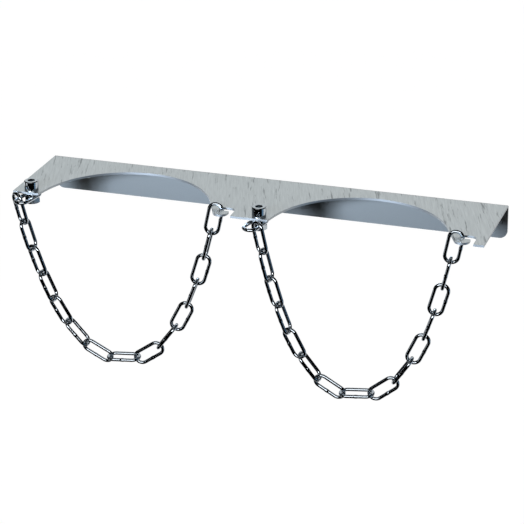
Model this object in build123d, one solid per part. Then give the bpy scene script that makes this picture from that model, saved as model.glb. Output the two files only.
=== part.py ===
from build123d import *
import math
import os

# Wall bracket for two gas cylinders: one folded sheet, and in each bay a chain that is bolted to one horn and
# hooked into a slot at the other. X runs along the wall, Y from the room into the wall and Z up. The origin is
# the middle of the face that lies on the wall. Every size below is in millimetres or degrees.

# Folded sheet
sheet_thickness = 2.5
shelf_depth = 120.0
flange_height = 40.0
bend_inner_radius = 2.0
flange_corner_radius = 9.0

# Wall fixing holes in the flange
wall_hole_diameter = 9.0
wall_hole_count = 3
wall_hole_end_distance = 40.0

# Bays that the cylinders stand in
bay_names = ("left", "right")
arc_radius = 100.0
arc_centre_overhang = 6.0
horn_width = 70.0
bay_shift = 3.5
horn_runout_angle = 12.0
tongue_runout_angle = 25.0

# Hook slot beside each bay, with the tongue that keeps the chain in it
tongue_width = 14.0
tongue_depth = 12.5
tongue_nose_radius = 8.5
tongue_tip_radius = 8.0
tongue_edge_radius = 1.5
neck_width = 9.8
slot_width = 9.0
slot_corner_radius = 7.0
notch_width = 5.5

# Socket head screw, washer and nut that clamp each chain
screw_diameter = 10.0
screw_head_diameter = 16.0
screw_head_height = 11.0
screw_socket_width = 8.0
screw_socket_depth = 5.0
screw_end_projection = 1.0
screw_hole_clearance = 1.0
screw_setback = 12.9
screw_inset = 9.5
washer_diameter = 20.0
washer_thickness = 2.0
washer_hole_clearance = 0.5
nut_width = 16.0
nut_height = 6.0
thread_clearance = 0.1
edge_break = 0.8

# Long link chain
wire_diameter = 4.0
link_pitch = 32.3
link_screw_clearance = 1.0
link_count = 15
link_contact_gap = 0.12
weld_length = 5.0
weld_height = 0.25

# How the chains lie
anchor_reach = 27.0
anchor_turn = 10.0
first_link_side = (-1, 1)
first_link_slide = (1.5, 2.0)
first_link_twist = -38.0
twisted_link_count = 9
hook_link_inset = 16.1
support_gap = 0.75
seat_gap = 0.05

# Sizes that follow
bay_pitch = 2 * arc_radius + horn_width
bracket_length = len(bay_names) * bay_pitch
shelf_top = flange_height / 2
shelf_bottom = shelf_top - sheet_thickness
left_end = -bracket_length / 2
front_edge = -shelf_depth
arc_centre_y = front_edge - arc_centre_overhang
link_inner_width = screw_diameter + link_screw_clearance
link_bow_radius = (link_inner_width + wire_diameter) / 2
link_leg_length = link_pitch - link_inner_width
link_reach = (link_pitch + wire_diameter) / 2
link_half_thickness = wire_diameter / 2 + weld_height
anchor_height = shelf_bottom - washer_thickness - seat_gap - link_half_thickness
nut_top = anchor_height - link_half_thickness - seat_gap


def arc_centre_x(bay):
    """Distance from the bracket's middle to the middle of a bay's arc."""
    return left_end + (bay + 1 / 2) * bay_pitch - bay_shift


def angle_bar():
    """Sheet folded to an angle along its whole length: the shelf on top and the flange against the wall."""
    outer_radius = bend_inner_radius + sheet_thickness
    with BuildPart() as bar:
        with BuildSketch(Plane.YZ.offset(left_end)):
            with BuildLine():
                outer = FilletPolyline(
                    (front_edge, shelf_top), (0, shelf_top), (0, -shelf_top), radius=outer_radius
                )
                inner = FilletPolyline(
                    (front_edge, shelf_bottom),
                    (-sheet_thickness, shelf_bottom),
                    (-sheet_thickness, -shelf_top),
                    radius=bend_inner_radius,
                )
                Line(outer @ 0, inner @ 0)
                Line(outer @ 1, inner @ 1)
            make_face()
        extrude(amount=bracket_length)
        lower_corners = bar.edges().filter_by(Axis.Y).group_by(Axis.Z)[0]
        fillet(lower_corners, flange_corner_radius)
    return bar.part


def arc_end(runout_angle):
    """Where an arc ends, and where its tangent from there meets the front edge, both from the arc's middle."""
    angle = math.radians(runout_angle)
    end_x = arc_radius * math.cos(angle)
    end_y = arc_centre_y + arc_radius * math.sin(angle)
    return end_x, end_y, end_x + (end_y - front_edge) * math.tan(angle)


def bay_opening(bay):
    """Plan of the arc that a cylinder stands in. Both of its sides run out along tangents to the front edge."""
    centre_x = arc_centre_x(bay)
    left_x, left_y, left_front_x = arc_end(horn_runout_angle)
    right_x, right_y, right_front_x = arc_end(tongue_runout_angle)
    with BuildSketch() as opening:
        with BuildLine():
            left_end_point = (centre_x - left_x, left_y)
            right_end_point = (centre_x + right_x, right_y)
            left_front = (centre_x - left_front_x, front_edge)
            right_front = (centre_x + right_front_x, front_edge)
            Line(left_front, left_end_point)
            ThreePointArc(left_end_point, (centre_x, arc_centre_y + arc_radius), right_end_point)
            Line(right_end_point, right_front)
            Line(right_front, left_front)
        make_face()
    return opening.sketch


def tongue_ends_x(bay):
    """The tongue's two corners on the front edge: its nose at the arc and its tip at the notch."""
    nose_x = arc_centre_x(bay) + arc_end(tongue_runout_angle)[2]
    return nose_x, nose_x + tongue_width


def neck_sides_x(bay, inset):
    """Both sides of the neck between the arc and the slot, that far behind the front edge."""
    nose_x = tongue_ends_x(bay)[0]
    slope = math.tan(math.radians(tongue_runout_angle))
    slot_end_x = nose_x - (tongue_depth + slot_width / 2) * slope + neck_width
    return nose_x - inset * slope, slot_end_x


def hook_slot(bay):
    """Plan of the slot that a link drops into: in from the front edge, then along behind the tongue."""
    tip_x = tongue_ends_x(bay)[1]
    notch_x = tip_x + notch_width
    end_radius = slot_width / 2
    slot_y = front_edge + tongue_depth + end_radius
    end_x = neck_sides_x(bay, tongue_depth)[1] + end_radius
    with BuildSketch() as slot:
        with Locations((end_x, slot_y)):
            Circle(end_radius)
        with Locations(((end_x + notch_x) / 2, slot_y)):
            Rectangle(notch_x - end_x, slot_width)
        with Locations(((tip_x + notch_x) / 2, front_edge + tongue_depth / 2)):
            Rectangle(notch_width, tongue_depth)
    return slot.sketch


def shelf_plan():
    """Outline of the whole shelf seen from above."""
    plan = Location((0, front_edge / 2)) * Rectangle(bracket_length, shelf_depth)
    for bay in range(len(bay_names)):
        plan -= bay_opening(bay) + hook_slot(bay)
    for bay in range(len(bay_names)):
        nose_x, tip_x = tongue_ends_x(bay)
        slot_front = front_edge + tongue_depth
        corners = (
            ((nose_x, front_edge), tongue_nose_radius),
            ((tip_x, front_edge), tongue_tip_radius),
            ((tip_x, slot_front), tongue_edge_radius),
            ((tip_x + notch_width, slot_front + slot_width), slot_corner_radius),
        )
        for (x, y), radius in corners:
            corner = plan.vertices().sort_by_distance((x, y, 0))[0]
            plan = fillet(corner, radius)
    return plan


def folded_bracket():
    """The one sheet: cut to its outline, drilled and folded."""
    cutter = extrude(Location((0, 0, -flange_height)) * shelf_plan(), amount=2 * flange_height)
    bracket = angle_bar() & cutter
    for bay in range(len(bay_names)):
        x, y = screw_position(bay)
        hole = Cylinder((screw_diameter + screw_hole_clearance) / 2, flange_height)
        bracket -= Location((x, y, shelf_top)) * hole
    for x in wall_hole_positions():
        hole = Cylinder(wall_hole_diameter / 2, 4 * sheet_thickness)
        bracket -= Location((x, 0, 0), (90, 0, 0)) * hole
    return bracket


def wall_hole_positions():
    """Where the wall holes sit along the flange, evenly spread between its ends."""
    first = left_end + wall_hole_end_distance
    spacing = -2 * first / (wall_hole_count - 1)
    return [first + index * spacing for index in range(wall_hole_count)]


def screw_position(bay):
    """Middle of the screw in plan, on the horn to the left of its bay."""
    return arc_centre_x(bay) - arc_radius - screw_setback, front_edge + screw_inset


def cap_screw():
    """Socket head screw, its head sitting on the shelf at the local origin and its shank hanging down."""
    shank_length = shelf_top - nut_top + nut_height + screw_end_projection
    head = Cylinder(screw_head_diameter / 2, screw_head_height, align=(Align.CENTER, Align.CENTER, Align.MIN))
    head = chamfer(head.edges().group_by(Axis.Z)[-1], edge_break)
    socket = extrude(RegularPolygon(screw_socket_width / 2, 6, major_radius=False), amount=screw_socket_depth)
    shank = Cylinder(screw_diameter / 2, shank_length, align=(Align.CENTER, Align.CENTER, Align.MAX))
    shank = chamfer(shank.edges().group_by(Axis.Z)[0], edge_break)
    return head + shank - Location((0, 0, screw_head_height - screw_socket_depth)) * socket


def plain_washer():
    """Flat ring under the shelf, with its top face at the local origin."""
    hole_diameter = screw_diameter + washer_hole_clearance
    ring = Circle(washer_diameter / 2) - Circle(hole_diameter / 2)
    return extrude(ring, amount=-washer_thickness)


def hex_nut():
    """Hexagon nut with its top face at the local origin and the corners of both faces turned off."""
    blank = extrude(RegularPolygon(nut_width / 2, 6, major_radius=False), amount=-nut_height)
    corner_radius = nut_width / 2 / math.cos(math.radians(30))
    turned = Cylinder(corner_radius, nut_height, align=(Align.CENTER, Align.CENTER, Align.MAX))
    turned = chamfer(turned.edges().filter_by(GeomType.CIRCLE), edge_break, 2 * edge_break)
    bore = Cylinder((screw_diameter + thread_clearance) / 2, 3 * nut_height)
    return (blank & turned) - bore


def welded_leg():
    """Leg of a link with the raised ring that its butt weld leaves, along the local X axis."""
    wire_radius = wire_diameter / 2
    half_leg = link_leg_length / 2
    with BuildPart() as leg:
        with BuildSketch():
            with BuildLine():
                Polyline(
                    (-weld_length / 2, wire_radius),
                    (-half_leg, wire_radius),
                    (-half_leg, 0),
                    (half_leg, 0),
                    (half_leg, wire_radius),
                    (weld_length / 2, wire_radius),
                )
                ThreePointArc(
                    (-weld_length / 2, wire_radius),
                    (0, wire_radius + weld_height),
                    (weld_length / 2, wire_radius),
                )
            make_face()
        revolve(axis=Axis.X)
    return leg.part


def chain_link():
    """One link of bent round wire, its long axis on X, lying in the XY plane about the local origin."""
    wire_radius = wire_diameter / 2
    plain_leg = Location((0, 0, 0), (0, 90, 0)) * Cylinder(wire_radius, link_leg_length)
    section = Plane.XZ * Location((link_bow_radius, 0)) * Circle(wire_radius)
    bow = Location((0, 0, 0), (0, 0, -90)) * revolve(section, Axis.Z, revolution_arc=180)
    link = Location((0, link_bow_radius, 0)) * plain_leg
    link += Location((0, -link_bow_radius, 0)) * welded_leg()
    link += Location((link_leg_length / 2, 0, 0)) * bow
    link += Location((-link_leg_length / 2, 0, 0), (0, 0, 180)) * bow
    return link


def anchor_frame(bay):
    """Frame of the link that the screw clamps: it lies flat and points forward, turned a little to the left."""
    x, y = screw_position(bay)
    turn = math.radians(anchor_turn)
    forward = Vector(-math.sin(turn), -math.cos(turn), 0)
    front_bow = Vector(x, y, anchor_height) + forward * anchor_reach
    return Plane(origin=front_bow - forward * link_reach, x_dir=forward, z_dir=(0, 0, 1))


def anchor_support(bay):
    """Middle of the wire of the clamped link where the first hanging link sits on it, on one of its legs."""
    along = link_leg_length / 2 - first_link_slide[bay]
    across = link_bow_radius * first_link_side[bay]
    return anchor_frame(bay).from_local_coords(Vector(along, across, 0))


def hook_support(bay):
    """Middle of the last link's upper bow, which straddles the neck between the arc and the slot."""
    neck_left, neck_right = neck_sides_x(bay, hook_link_inset)
    drop = math.sqrt(link_inner_width**2 - (neck_right - neck_left) ** 2) / 2
    height = shelf_top - drop + support_gap
    return Vector((neck_left + neck_right) / 2, front_edge + hook_link_inset, height)


def hanging_directions(pull, first):
    """Slopes of the links: the sideways pull is the same in all, and each carries one link more than the last."""
    slopes = [math.atan2(first + index, pull) for index in range(link_count)]
    return [(math.cos(slope), math.sin(slope)) for slope in slopes]


def link_middles(directions):
    """Middles of the links in the plane they hang in, starting from the anchor's wire, and the last bow's.

    Every second link stands across that plane and is pulled at the crown of its bow. The links between lie in
    the plane, and there the pull acts round the bow, halfway between the two links' directions.
    """
    lead = link_pitch / 2 - wire_diameter - support_gap
    x, z = (lead * part for part in directions[0])
    middles = [(x, z)]
    for index in range(link_count - 1):
        pair = directions[index : index + 2]
        total = [sum(parts) for parts in zip(*pair)]
        pull = [part / math.hypot(*total) for part in total]
        crown = pair[(index + 1) % 2]
        contact = link_bow_radius - wire_diameter - link_contact_gap
        x += total[0] * link_leg_length / 2 + crown[0] * link_bow_radius + pull[0] * contact
        z += total[1] * link_leg_length / 2 + crown[1] * link_bow_radius + pull[1] * contact
        middles.append((x, z))
    run, rise = directions[-1]
    return middles, (x + run * link_leg_length / 2, z + rise * link_leg_length / 2)


def hanging_links(bay):
    """Middle and direction of each hanging link, by Newton's method on the pull and the first link's load."""
    start = anchor_support(bay)
    span = hook_support(bay) - start
    level = Vector(span.X, span.Y, 0)
    target = (level.length, span.Z)
    pull, first, nudge = 3.0, -link_count / 2, 1e-6

    def miss(pull, first):
        end = link_middles(hanging_directions(pull, first))[1]
        return end[0] - target[0], end[1] - target[1]

    for _ in range(60):
        x, z = miss(pull, first)
        x_pull, z_pull = (new - old for new, old in zip(miss(pull + nudge, first), (x, z)))
        x_first, z_first = (new - old for new, old in zip(miss(pull, first + nudge), (x, z)))
        scale = nudge / (x_pull * z_first - x_first * z_pull)
        change_pull = (x_first * z - x * z_first) * scale
        change_first = (x * z_pull - x_pull * z) * scale
        pull = max(pull / 2, pull + change_pull)
        first += max(-1.0, min(1.0, change_first))
    directions = hanging_directions(pull, first)
    across = level.normalized()
    up = Vector(0, 0, 1)
    middles = [start + across * x + up * z for x, z in link_middles(directions)[0]]
    return middles, [across * run + up * rise for run, rise in directions]


def link_frames(bay):
    """Frames of the hanging links: each is turned a quarter from the last, and the lay unwinds along the chain.

    The links that stand across the pull take half of the lay, since the wire they hang on holds them back.
    """
    middles, directions = hanging_links(bay)
    frames = []
    for index, (middle, direction) in enumerate(zip(middles, directions)):
        side = Vector(0, 0, 1).cross(direction).normalized()
        raised = direction.cross(side)
        lay = first_link_twist * max(0, 1 - index / twisted_link_count)
        crosswise = index % 2
        twist = math.radians(lay / (1 + crosswise) + 90 * crosswise)
        width = raised * math.cos(twist) + side * math.sin(twist)
        frames.append(Plane(origin=middle, x_dir=direction, z_dir=direction.cross(width)))
    return frames


def build():
    """Every piece of the bracket by name, each in its place."""
    pieces = {"folded_bracket": folded_bracket()}
    link = chain_link()
    for bay, name in enumerate(bay_names):
        x, y = screw_position(bay)
        pieces[f"{name}_cap_screw"] = Location((x, y, shelf_top)) * cap_screw()
        pieces[f"{name}_washer"] = Location((x, y, shelf_bottom)) * plain_washer()
        pieces[f"{name}_anchor_link"] = anchor_frame(bay).location * link
        pieces[f"{name}_hex_nut"] = Location((x, y, nut_top)) * hex_nut()
        for index, frame in enumerate(link_frames(bay)):
            pieces[f"{name}_link_{index + 1:02d}"] = frame.location * link
    return pieces


os.makedirs("parts", exist_ok=True)
for piece_name, piece in build().items():
    export_step(piece, f"parts/{piece_name}.step")
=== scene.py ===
import math

import bmesh
import bpy
from mathutils import Matrix, Vector

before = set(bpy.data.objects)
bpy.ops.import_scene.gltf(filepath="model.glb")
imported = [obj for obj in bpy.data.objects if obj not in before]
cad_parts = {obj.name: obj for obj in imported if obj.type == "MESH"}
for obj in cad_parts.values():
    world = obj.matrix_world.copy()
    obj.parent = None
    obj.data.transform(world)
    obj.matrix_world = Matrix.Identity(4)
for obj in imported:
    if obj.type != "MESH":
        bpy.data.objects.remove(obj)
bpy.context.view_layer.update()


# Folded sheet
# One blank of 2.5 mm mild steel, laser cut with its two arcs and hook slots, folded once along the wall and then
# zinc plated. The plating is satin, with thin dark rolling marks askew to the fold and rougher cut faces. The cut
# faces are painted paler, a painted highlight for the light they catch, and a thin broken dark line is drawn along
# the outside of the fold.
def hex_colour(text):
    """An sRGB hex value as a linear colour."""
    channels = [int(text[place:place + 2], 16) / 255 for place in (0, 2, 4)]
    return tuple(c / 12.92 if c < 0.04045 else ((c + 0.055) / 1.055) ** 2.4 for c in channels) + (1.0,)


def add_node(tree, kind, settings=None, **links):
    """A node of that kind. A value sets the socket of that name, and another node's output is linked to it."""
    node = tree.nodes.new(kind)
    for name, value in (settings or {}).items():
        setattr(node, name, value)
    for name, value in links.items():
        socket = next(s for s in node.inputs if s.name.replace(" ", "_") == name or s.identifier == name)
        if isinstance(value, bpy.types.NodeSocket):
            tree.links.new(value, socket)
        else:
            socket.default_value = value
    return node


def new_surface(name):
    """A material by that name, with its node tree, its shader and the object's coordinates."""
    material = bpy.data.materials.new(name)
    material.use_nodes = True
    tree = material.node_tree
    shader = tree.nodes["Principled BSDF"]
    place = add_node(tree, "ShaderNodeTexCoord").outputs["Object"]
    return material, tree, shader, place


def finish_with(name, material):
    """Gives a CAD piece that material in place of its plain one."""
    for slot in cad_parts[name].material_slots:
        slot.material = material


askew_angle = math.radians(-19)
sway_per_metre = 30.0  # bends the marks a little every 30 mm
sway_share = 0.004
marks_per_metre = (420.0, 24.0, 24.0)  # rolling marks about 1 mm wide and 20 mm long
grain_per_metre = (700.0, 40.0, 40.0)  # the real grain is finer than 0.1 mm: drawn 1.4 mm apart so that it shows
fold_line_breaks_per_metre = 140.0  # breaks the fold's line about every 7 mm
fold_start = -0.0045  # the outside of the bend begins here
shelf_underside = 0.0174
facing_limit = 0.5
mark_depth = 0.0003

plate, tree, shader, place = new_surface("satin zinc plated rolled sheet steel")
askew = add_node(tree, "ShaderNodeMapping", Vector=place, Rotation=(0, 0, askew_angle)).outputs["Vector"]
sway = add_node(tree, "ShaderNodeTexNoise", Vector=askew, Scale=sway_per_metre, Detail=2.0).outputs["Color"]
swayed = add_node(
    tree, "ShaderNodeMix", {"data_type": "VECTOR"}, Factor_Float=sway_share, A_Vector=askew, B_Vector=sway,
).outputs[1]
rolled = add_node(tree, "ShaderNodeMapping", Vector=swayed, Scale=marks_per_metre).outputs["Vector"]
marks = add_node(tree, "ShaderNodeTexNoise", Vector=rolled, Scale=1.0, Detail=3.0, Roughness=0.55).outputs["Fac"]
dark_marks = add_node(tree, "ShaderNodeMapRange", Value=marks, From_Min=0.61, From_Max=0.68).outputs["Result"]
fine = add_node(tree, "ShaderNodeMapping", Vector=askew, Scale=grain_per_metre).outputs["Vector"]
grain = add_node(tree, "ShaderNodeTexNoise", Vector=fine, Scale=1.0, Detail=3.0).outputs["Fac"]

# Which faces are which: the shelf's top, the outside of the folded sheet, and the cut faces round the shelf.
facing = add_node(tree, "ShaderNodeSeparateXYZ", Vector=add_node(tree, "ShaderNodeNewGeometry").outputs["Normal"])
spot = add_node(tree, "ShaderNodeSeparateXYZ", Vector=place)
level = add_node(tree, "ShaderNodeMath", {"operation": "ABSOLUTE"}, Value=facing.outputs["Z"]).outputs[0]
upright = add_node(tree, "ShaderNodeMath", {"operation": "LESS_THAN"}, Value=level, Value_001=facing_limit).outputs[0]
on_top = add_node(
    tree, "ShaderNodeMath", {"operation": "GREATER_THAN"}, Value=facing.outputs["Z"], Value_001=facing_limit,
).outputs[0]
outward = add_node(
    tree, "ShaderNodeMath", {"operation": "ADD"}, Value=facing.outputs["Y"], Value_001=facing.outputs["Z"],
).outputs[0]
outside = add_node(
    tree, "ShaderNodeMath", {"operation": "GREATER_THAN"}, Value=outward, Value_001=facing_limit,
).outputs[0]
in_shelf = add_node(
    tree, "ShaderNodeMath", {"operation": "GREATER_THAN"}, Value=spot.outputs["Z"], Value_001=shelf_underside,
).outputs[0]
# The cut faces are rougher, and below they are also painted paler: a painted highlight for the light they catch.
rough_cut_faces_with_painted_highlight = add_node(tree, "ShaderNodeMath", {"operation": "MULTIPLY"}, Value=upright, Value_001=in_shelf).outputs[0]
at_fold = add_node(
    tree, "ShaderNodeMath", {"operation": "GREATER_THAN"}, Value=spot.outputs["Y"], Value_001=fold_start,
).outputs[0]
fold_top = add_node(tree, "ShaderNodeMath", {"operation": "MULTIPLY"}, Value=at_fold, Value_001=on_top).outputs[0]

# The colours: grained plating, then the dark marks, the fold's dark line and the cut faces over it, the cut faces
# painted paler as a painted highlight.
worn = add_node(tree, "ShaderNodeMath", {"operation": "MULTIPLY"}, Value=outside, Value_001=grain).outputs[0]
scored = add_node(tree, "ShaderNodeMath", {"operation": "MULTIPLY"}, Value=on_top, Value_001=dark_marks).outputs[0]
# A thin dark line, broken up by noise, drawn along the outside of the fold on the shelf's top.
fold_line_noise = add_node(tree, "ShaderNodeTexNoise", Vector=place, Scale=fold_line_breaks_per_metre, Detail=3.0).outputs["Fac"]
broken = add_node(tree, "ShaderNodeMapRange", Value=fold_line_noise, From_Min=0.35, From_Max=0.6, To_Max=0.45).outputs["Result"]
dark_fold_line = add_node(tree, "ShaderNodeMath", {"operation": "MULTIPLY"}, Value=broken, Value_001=fold_top).outputs[0]
colour = add_node(
    tree, "ShaderNodeMix", {"data_type": "RGBA"},
    Factor_Float=worn, A_Color=hex_colour("a3a8a9"), B_Color=hex_colour("c9cece"),
).outputs[2]
# b2b7ba on the cut faces is a painted highlight: it paints them paler for the light they catch.
for share, overlay_tone in ((scored, "868b8c"), (dark_fold_line, "5b6163"), (rough_cut_faces_with_painted_highlight, "b2b7ba")):
    colour = add_node(
        tree, "ShaderNodeMix", {"data_type": "RGBA"}, Factor_Float=share, A_Color=colour, B_Color=hex_colour(overlay_tone),
    ).outputs[2]
tree.links.new(colour, shader.inputs["Base Color"])
gloss = add_node(tree, "ShaderNodeMapRange", Value=rough_cut_faces_with_painted_highlight, To_Min=0.4, To_Max=0.46)
tree.links.new(gloss.outputs["Result"], shader.inputs["Roughness"])
shader.inputs["Metallic"].default_value = 1.0
relief = add_node(tree, "ShaderNodeBump", Height=marks, Strength=0.25, Distance=mark_depth)
tree.links.new(relief.outputs["Normal"], shader.inputs["Normal"])
finish_with("folded_bracket", plate)


# Chains
# Each is a length of 4 mm long link chain, its links bent from drawn wire, butt welded on one leg and bright zinc
# plated, which gives sharp highlights and small dents. The first link is clamped under its screw, and the last one
# hangs over the neck beside the hook slot.
bays = ("left", "right")
dents_per_metre = 350.0  # about 3 mm apart
dent_depth = 0.0003

wire, tree, shader, place = new_surface("bright zinc plated drawn wire")
dents = add_node(tree, "ShaderNodeTexNoise", Vector=place, Scale=dents_per_metre, Detail=2.0).outputs["Fac"]
shader.inputs["Base Color"].default_value = hex_colour("a6aeb5")
shader.inputs["Metallic"].default_value = 1.0
gloss = add_node(tree, "ShaderNodeMapRange", Value=dents, From_Min=0.3, From_Max=0.7, To_Min=0.04, To_Max=0.08)
tree.links.new(gloss.outputs["Result"], shader.inputs["Roughness"])
relief = add_node(tree, "ShaderNodeBump", Height=dents, Strength=0.2, Distance=dent_depth)
tree.links.new(relief.outputs["Normal"], shader.inputs["Normal"])
for bay in bays:
    finish_with(f"{bay}_anchor_link", wire)
    for number in range(1, 16):
        finish_with(f"{bay}_link_{number:02d}", wire)


# Screws, washers and nuts
# Bright zinc plated M10 socket head screws, their polish slightly clouded by the plating. Each goes down through its
# horn, a plain washer and the chain's clamped link into a thin nut.
clouds_per_metre = 240.0  # patches of plating about 4 mm across

plating, tree, shader, place = new_surface("bright zinc plated machined steel")
clouds = add_node(tree, "ShaderNodeTexNoise", Vector=place, Scale=clouds_per_metre, Detail=3.0).outputs["Fac"]
shader.inputs["Base Color"].default_value = hex_colour("b0b7bc")
shader.inputs["Metallic"].default_value = 1.0
gloss = add_node(tree, "ShaderNodeMapRange", Value=clouds, From_Min=0.3, From_Max=0.7, To_Min=0.07, To_Max=0.12)
tree.links.new(gloss.outputs["Result"], shader.inputs["Roughness"])
for bay in bays:
    for piece in ("cap_screw", "washer", "hex_nut"):
        finish_with(f"{bay}_{piece}", plating)


# Floor
# A plain pale floor below the part, which hangs on its wall above it. Four fifths of it show white to the camera and
# in reflections, and the rest is lit, so that a shadow on it stays.
def backdrop_rays(tree):
    """1 for the rays of the camera, of reflections and of glass, which see the white background, and 0 for others."""
    seen = add_node(tree, "ShaderNodeLightPath").outputs
    rays = seen["Is Camera Ray"]
    for kind in ("Is Glossy Ray", "Is Transmission Ray"):
        rays = add_node(tree, "ShaderNodeMath", {"operation": "MAXIMUM"}, Value=rays, Value_001=seen[kind]).outputs[0]
    return rays


floor_height = -0.6
white_share = 0.8
white_strength = 1.155  # with the lit fifth it adds up to white

floor_mesh = bpy.data.meshes.new("floor")
floor_shape = bmesh.new()
bmesh.ops.create_grid(floor_shape, size=4.0)
bmesh.ops.translate(floor_shape, verts=floor_shape.verts, vec=(0, 0, floor_height))
floor_shape.to_mesh(floor_mesh)
floor_shape.free()
floor = bpy.data.objects.new("floor", floor_mesh)
bpy.context.collection.objects.link(floor)
pale, tree, shader, place = new_surface("pale studio floor")
shader.inputs["Base Color"].default_value = hex_colour("e8e8e8")
shader.inputs["Roughness"].default_value = 0.9
mostly = add_node(
    tree, "ShaderNodeMath", {"operation": "MULTIPLY"}, Value=backdrop_rays(tree), Value_001=white_share,
).outputs[0]
white = add_node(tree, "ShaderNodeEmission", Color=(1, 1, 1, 1), Strength=white_strength)
mixed = add_node(tree, "ShaderNodeMixShader", Fac=mostly)
tree.links.new(shader.outputs[0], mixed.inputs[1])
tree.links.new(white.outputs[0], mixed.inputs[2])
tree.links.new(mixed.outputs[0], tree.nodes["Material Output"].inputs["Surface"])
floor_mesh.materials.append(pale)


# Room
# A plain white studio: it lights the part softly from all round at half strength, and its background is white.
world = bpy.data.worlds.new("studio")
world.use_nodes = True
bpy.context.scene.world = world
tree = world.node_tree
room = tree.nodes["Background"]
room.inputs["Color"].default_value = hex_colour("ffffff")
room.inputs["Strength"].default_value = 0.5
backdrop = add_node(tree, "ShaderNodeBackground", Color=(1, 1, 1, 1), Strength=1.0)
mixed = add_node(tree, "ShaderNodeMixShader", Fac=backdrop_rays(tree))
tree.links.new(room.outputs[0], mixed.inputs[1])
tree.links.new(backdrop.outputs[0], mixed.inputs[2])
tree.links.new(mixed.outputs[0], tree.nodes["World Output"].inputs["Surface"])


# Lamps
# Softboxes in front and above. The two at the front light the sheet alone, and a wide panel lights the chains and
# fittings, whose polish would show a small lamp as a glare.
aim_point = Vector((0, -0.06, -0.05))  # the middle of the part


def add_lamp(name, position, size, watts):
    """A square soft lamp that points at the middle of the part."""
    lamp = bpy.data.objects.new(name, bpy.data.lights.new(name, "AREA"))
    lamp.data.size = size
    lamp.data.energy = watts
    lamp.location = position
    lamp.rotation_euler = (aim_point - Vector(position)).to_track_quat("-Z", "Y").to_euler()
    bpy.context.collection.objects.link(lamp)
    return lamp


add_lamp("overhead softbox", (-0.4, -0.8, 1.6), 1.2, 1.5)
key = add_lamp("key softbox", (-0.53, -1.76, 0.6), 0.5, 114.0)
key.data.color = hex_colour("dbe9fb")[:3]
fill = add_lamp("front softbox", (0.75, -1.7, 0.9), 0.5, 5.0)
panel = add_lamp("front panel", (0.25, -1.95, 0.66), 2.2, 30.0)
panel.data.shape = "RECTANGLE"
panel.data.size_y = 0.7
panel.visible_camera = False
sheet_only = bpy.data.collections.new("lit sheet")
fittings_only = bpy.data.collections.new("lit chains and fittings")
for name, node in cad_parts.items():
    (sheet_only if name == "folded_bracket" else fittings_only).objects.link(node)
key.light_linking.receiver_collection = sheet_only
fill.light_linking.receiver_collection = sheet_only
panel.light_linking.receiver_collection = fittings_only


# Studio cards
# Polished metal shows its surroundings, so black cards stand round the part, with a pale ceiling that only the sheet
# shows, and a pale or blue-grey panel where the plating has its highlights.
def add_card(name, position, width, height, colour, strength):
    """A studio card that only reflections see: it points at the middle of the part."""
    sheet = bpy.data.meshes.new(name)
    shape = bmesh.new()
    bmesh.ops.create_grid(shape, size=0.5)
    bmesh.ops.scale(shape, verts=shape.verts, vec=(width, height, 1.0))
    aim = (aim_point - Vector(position)).to_track_quat("-Z", "Y").to_matrix().to_4x4()
    bmesh.ops.transform(shape, verts=shape.verts, matrix=Matrix.Translation(position) @ aim)
    shape.to_mesh(sheet)
    shape.free()
    glowing, tree, shader, place = new_surface(name)
    glow = add_node(tree, "ShaderNodeEmission", Color=hex_colour(colour), Strength=strength)
    tree.links.new(glow.outputs[0], tree.nodes["Material Output"].inputs["Surface"])
    sheet.materials.append(glowing)
    card = bpy.data.objects.new(name, sheet)
    bpy.context.collection.objects.link(card)
    for ray in ("camera", "diffuse", "transmission", "volume_scatter", "shadow"):
        setattr(card, f"visible_{ray}", False)
    return card


for side, position, width, height in (
    ("below", (0.0, -0.1, -0.59), 5.0, 5.0),
    ("behind camera", (0.75, -2.3, 0.0), 5.0, 5.0),
    ("behind", (-0.7, 2.2, -0.9), 5.0, 2.6),
    ("right", (2.2, 0.7, 0.0), 5.0, 5.0),
    ("left", (-2.3, -0.6, 0.0), 5.0, 5.0),
):
    add_card(f"black card {side}", position, width, height, "050505", 1.0)
ceiling = add_card("pale ceiling", (0.0, -0.5, 2.4), 6.0, 6.0, "dfe2e4", 1.0)
ceiling.light_linking.receiver_collection = sheet_only
add_card("back panel", (-0.85, 1.6, 0.95), 1.8, 1.3, "f4f7f8", 0.98)
add_card("left panel", (-1.3, -0.9, -0.45), 0.35, 0.6, "ffffff", 1.4)
add_card("right panel", (1.2, -0.3, -0.3), 0.6, 0.6, "6d8ca6", 1.4)


# Camera
# A long lens, level with neither edge: it looks down and from the right, and leans by less than a degree. The view
# is 524 pixels wide, and its focal length is worked out from them.
view_width = 524
focal_length = 2059.5  # in the view's pixels

camera = bpy.data.objects.new("camera", bpy.data.cameras.new("camera"))
bpy.context.collection.objects.link(camera)
camera.data.sensor_width = 36.0
camera.data.lens = focal_length / view_width * camera.data.sensor_width
camera.data.clip_end = 20.0
to_right = Vector((0.9472, 0.3203, -0.0130)).normalized()
to_front = Vector((0.2985, -0.8664, 0.4003)).normalized()
to_top = to_front.cross(to_right).normalized()
to_right = to_top.cross(to_front)
turn = Matrix((to_right, to_top, to_front)).transposed().to_4x4()
camera.matrix_world = Matrix.Translation((0.6947, -2.0653, 0.8687)) @ turn
bpy.context.scene.camera = camera
bpy.context.scene.view_settings.view_transform = "Standard"
